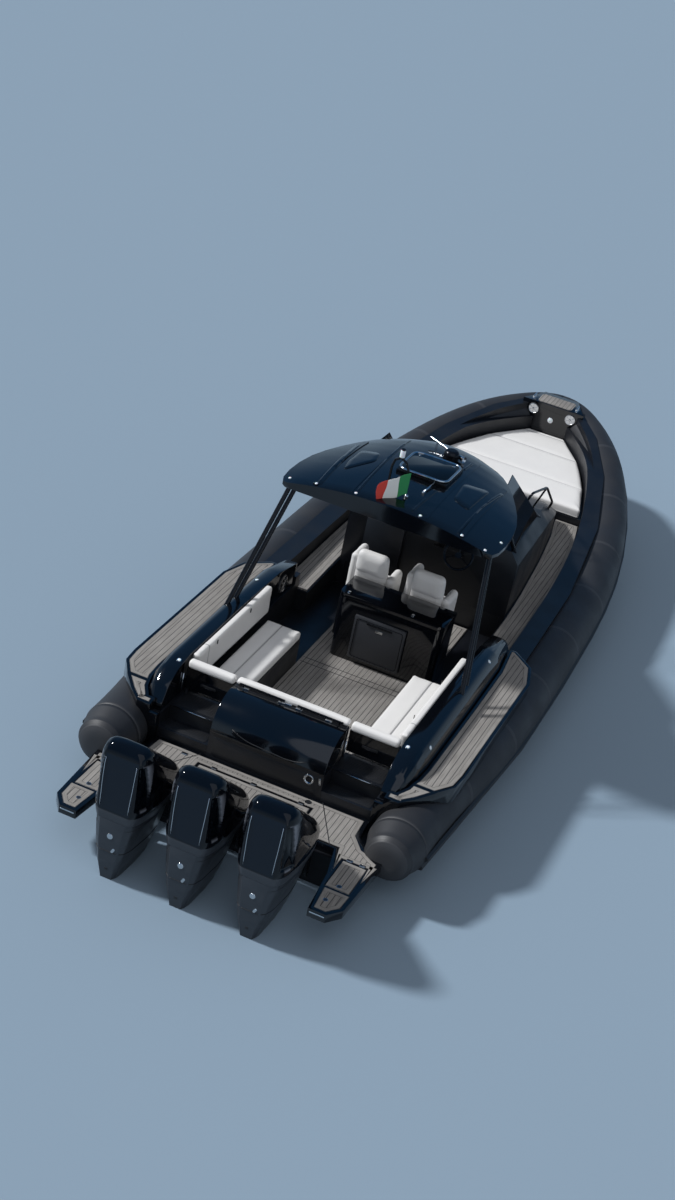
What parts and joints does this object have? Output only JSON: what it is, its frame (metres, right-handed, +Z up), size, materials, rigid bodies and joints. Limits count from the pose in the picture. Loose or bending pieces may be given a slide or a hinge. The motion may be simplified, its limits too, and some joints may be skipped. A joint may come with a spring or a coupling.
{
  "type": "rigid inflatable boat",
  "caption": "Cabin-console boat with an inflatable collar, hardtop, swim platform and outboard engines that tilt and steer.",
  "frame": {"origin": "on the waterline and the centreline, 200 mm behind the face of the transom", "axes": "+X to the bow, +Y to port, +Z up"},
  "size_m": [11.7313, 4.0464, 3.89],
  "materials": {
    "gelcoat": "gloss",
    "tube_fabric": "matt",
    "strake_rubber": "satin",
    "deck_teak": "matt",
    "upholstery": "satin",
    "dark_glass": "gloss",
    "black_metal": "gloss",
    "speaker_plastic": "satin",
    "steel": "polished",
    "engine_paint": "gloss",
    "fridge_face": "satin",
    "wheel_rim": "satin"
  },
  "bodies": {
    "hull": {"hull": "gelcoat", "tube_port": "tube_fabric", "tube_starboard": "tube_fabric", "rub_strakes": "strake_rubber", "swim_platform": "gelcoat", "teak_decks": "deck_teak", "stern_unit": "gelcoat", "boarding_steps": "gelcoat", "stern_bolster": "upholstery", "coamings": "gelcoat", "side_steps": "gelcoat", "sofa_bases": "gelcoat", "sofa_cushions": "upholstery", "sofa_backs": "upholstery", "galley": "gelcoat", "helm_seat_base": "gelcoat", "helm_seats": "upholstery", "console": "gelcoat", "windscreen": "dark_glass", "windscreen_frame": "black_metal", "hardtop": "gelcoat", "roof_pillars": "black_metal", "sunpad": "upholstery", "bow_locker": "gelcoat", "speakers": "speaker_plastic", "eyes": "steel", "transom_brackets": "engine_paint", "stern_rails": "black_metal", "skylight_frame": "steel", "roof_fittings": "black_metal"},
    "platform_hatch": {"platform_hatch": "gelcoat"},
    "ladder_lid_port": {"ladder_lid_port": "gelcoat"},
    "ladder_lid_starboard": {"ladder_lid_starboard": "gelcoat"},
    "stern_lid": {"stern_lid": "gelcoat"},
    "gate_port": {"gate_port": "gelcoat", "gate_bolster_port": "upholstery"},
    "gate_starboard": {"gate_starboard": "gelcoat", "gate_bolster_starboard": "upholstery"},
    "galley_lid": {"galley_lid": "gelcoat"},
    "fridge_door": {"fridge_door": "fridge_face"},
    "cabin_door": {"cabin_door": "gelcoat"},
    "steering_wheel": {"steering_wheel": "wheel_rim"},
    "roof_hatch": {"roof_hatch": "dark_glass"},
    "swivel_1": {"swivel_1": "engine_paint"},
    "engine_1": {"cowl_1": "engine_paint", "leg_1": "engine_paint"},
    "propeller_1": {"propeller_1": "steel"},
    "swivel_2": {"swivel_2": "engine_paint"},
    "engine_2": {"cowl_2": "engine_paint", "leg_2": "engine_paint"},
    "propeller_2": {"propeller_2": "steel"},
    "swivel_3": {"swivel_3": "engine_paint"},
    "engine_3": {"cowl_3": "engine_paint", "leg_3": "engine_paint"},
    "propeller_3": {"propeller_3": "steel"}
  },
  "joints": [
    {"name": "tilt_1", "type": "hinge", "parent": "hull", "child": "swivel_1", "pos_m": [0.11, 0.72, 0.56], "axis": [0, 1, 0], "range_deg": [-4, 62]},
    {"name": "steer_1", "type": "hinge", "parent": "swivel_1", "child": "engine_1", "pos_m": [-0.06, 0.72, 0.3], "axis": [0, 0, 1], "range_deg": [-20, 20]},
    {"name": "propeller_spin_1", "type": "hinge", "parent": "engine_1", "child": "propeller_1", "pos_m": [-0.64, 0.72, -0.53], "axis": [1, 0, 0], "continuous": true},
    {"name": "tilt_2", "type": "hinge", "parent": "hull", "child": "swivel_2", "pos_m": [0.11, 0, 0.56], "axis": [0, 1, 0], "range_deg": [-4, 62]},
    {"name": "steer_2", "type": "hinge", "parent": "swivel_2", "child": "engine_2", "pos_m": [-0.06, 0, 0.3], "axis": [0, 0, 1], "range_deg": [-20, 20]},
    {"name": "propeller_spin_2", "type": "hinge", "parent": "engine_2", "child": "propeller_2", "pos_m": [-0.64, 0, -0.53], "axis": [1, 0, 0], "continuous": true},
    {"name": "tilt_3", "type": "hinge", "parent": "hull", "child": "swivel_3", "pos_m": [0.11, -0.72, 0.56], "axis": [0, 1, 0], "range_deg": [-4, 62]},
    {"name": "steer_3", "type": "hinge", "parent": "swivel_3", "child": "engine_3", "pos_m": [-0.06, -0.72, 0.3], "axis": [0, 0, 1], "range_deg": [-20, 20]},
    {"name": "propeller_spin_3", "type": "hinge", "parent": "engine_3", "child": "propeller_3", "pos_m": [-0.64, -0.72, -0.53], "axis": [1, 0, 0], "continuous": true},
    {"name": "platform_hatch_hinge", "type": "hinge", "parent": "hull", "child": "platform_hatch", "pos_m": [0.674, 0, 0.45], "axis": [0, -1, 0], "range_deg": [-85, 0]},
    {"name": "ladder_lid_port_hinge", "type": "hinge", "parent": "hull", "child": "ladder_lid_port", "pos_m": [0.114, 1.3, 0.45], "axis": [0, 1, 0], "range_deg": [0, 95]},
    {"name": "ladder_lid_starboard_hinge", "type": "hinge", "parent": "hull", "child": "ladder_lid_starboard", "pos_m": [0.114, -1.3, 0.45], "axis": [0, 1, 0], "range_deg": [0, 95]},
    {"name": "stern_lid_hinge", "type": "hinge", "parent": "hull", "child": "stern_lid", "pos_m": [1.282, 0, 1.05], "axis": [0, -1, 0], "range_deg": [-60, 0]},
    {"name": "gate_port_hinge", "type": "hinge", "parent": "hull", "child": "gate_port", "pos_m": [1.35, 1.125, 0.9], "axis": [0, 0, -1], "range_deg": [0, 90]},
    {"name": "gate_starboard_hinge", "type": "hinge", "parent": "hull", "child": "gate_starboard", "pos_m": [1.35, -1.125, 0.9], "axis": [0, 0, 1], "range_deg": [0, 90]},
    {"name": "galley_lid_hinge", "type": "hinge", "parent": "hull", "child": "galley_lid", "pos_m": [4.07, -0.15, 1.15], "axis": [0, 1, 0], "range_deg": [0, 80]},
    {"name": "fridge_door_hinge", "type": "hinge", "parent": "hull", "child": "fridge_door", "pos_m": [3.6, -0.375, 0.7], "axis": [0, 0, 1], "range_deg": [0, 90]},
    {"name": "cabin_door_hinge", "type": "hinge", "parent": "hull", "child": "cabin_door", "pos_m": [5.2146, 0.8, 0.85], "axis": [0, 0, -1], "range_deg": [0, 90]},
    {"name": "steering_wheel_turn", "type": "hinge", "parent": "hull", "child": "steering_wheel", "pos_m": [5.085, -0.38, 1.29], "axis": [-0.9063, 0, 0.4226], "range_deg": [-540, 540]},
    {"name": "roof_hatch_hinge", "type": "hinge", "parent": "hull", "child": "roof_hatch", "pos_m": [4.45, -0.075, 2.6198], "axis": [0, 1, 0], "range_deg": [0, 45]}
  ],
  "couplings": [
    {"joint": "steer_1", "follows": "steer_2", "ratio": 1},
    {"joint": "steer_3", "follows": "steer_2", "ratio": 1}
  ]
}
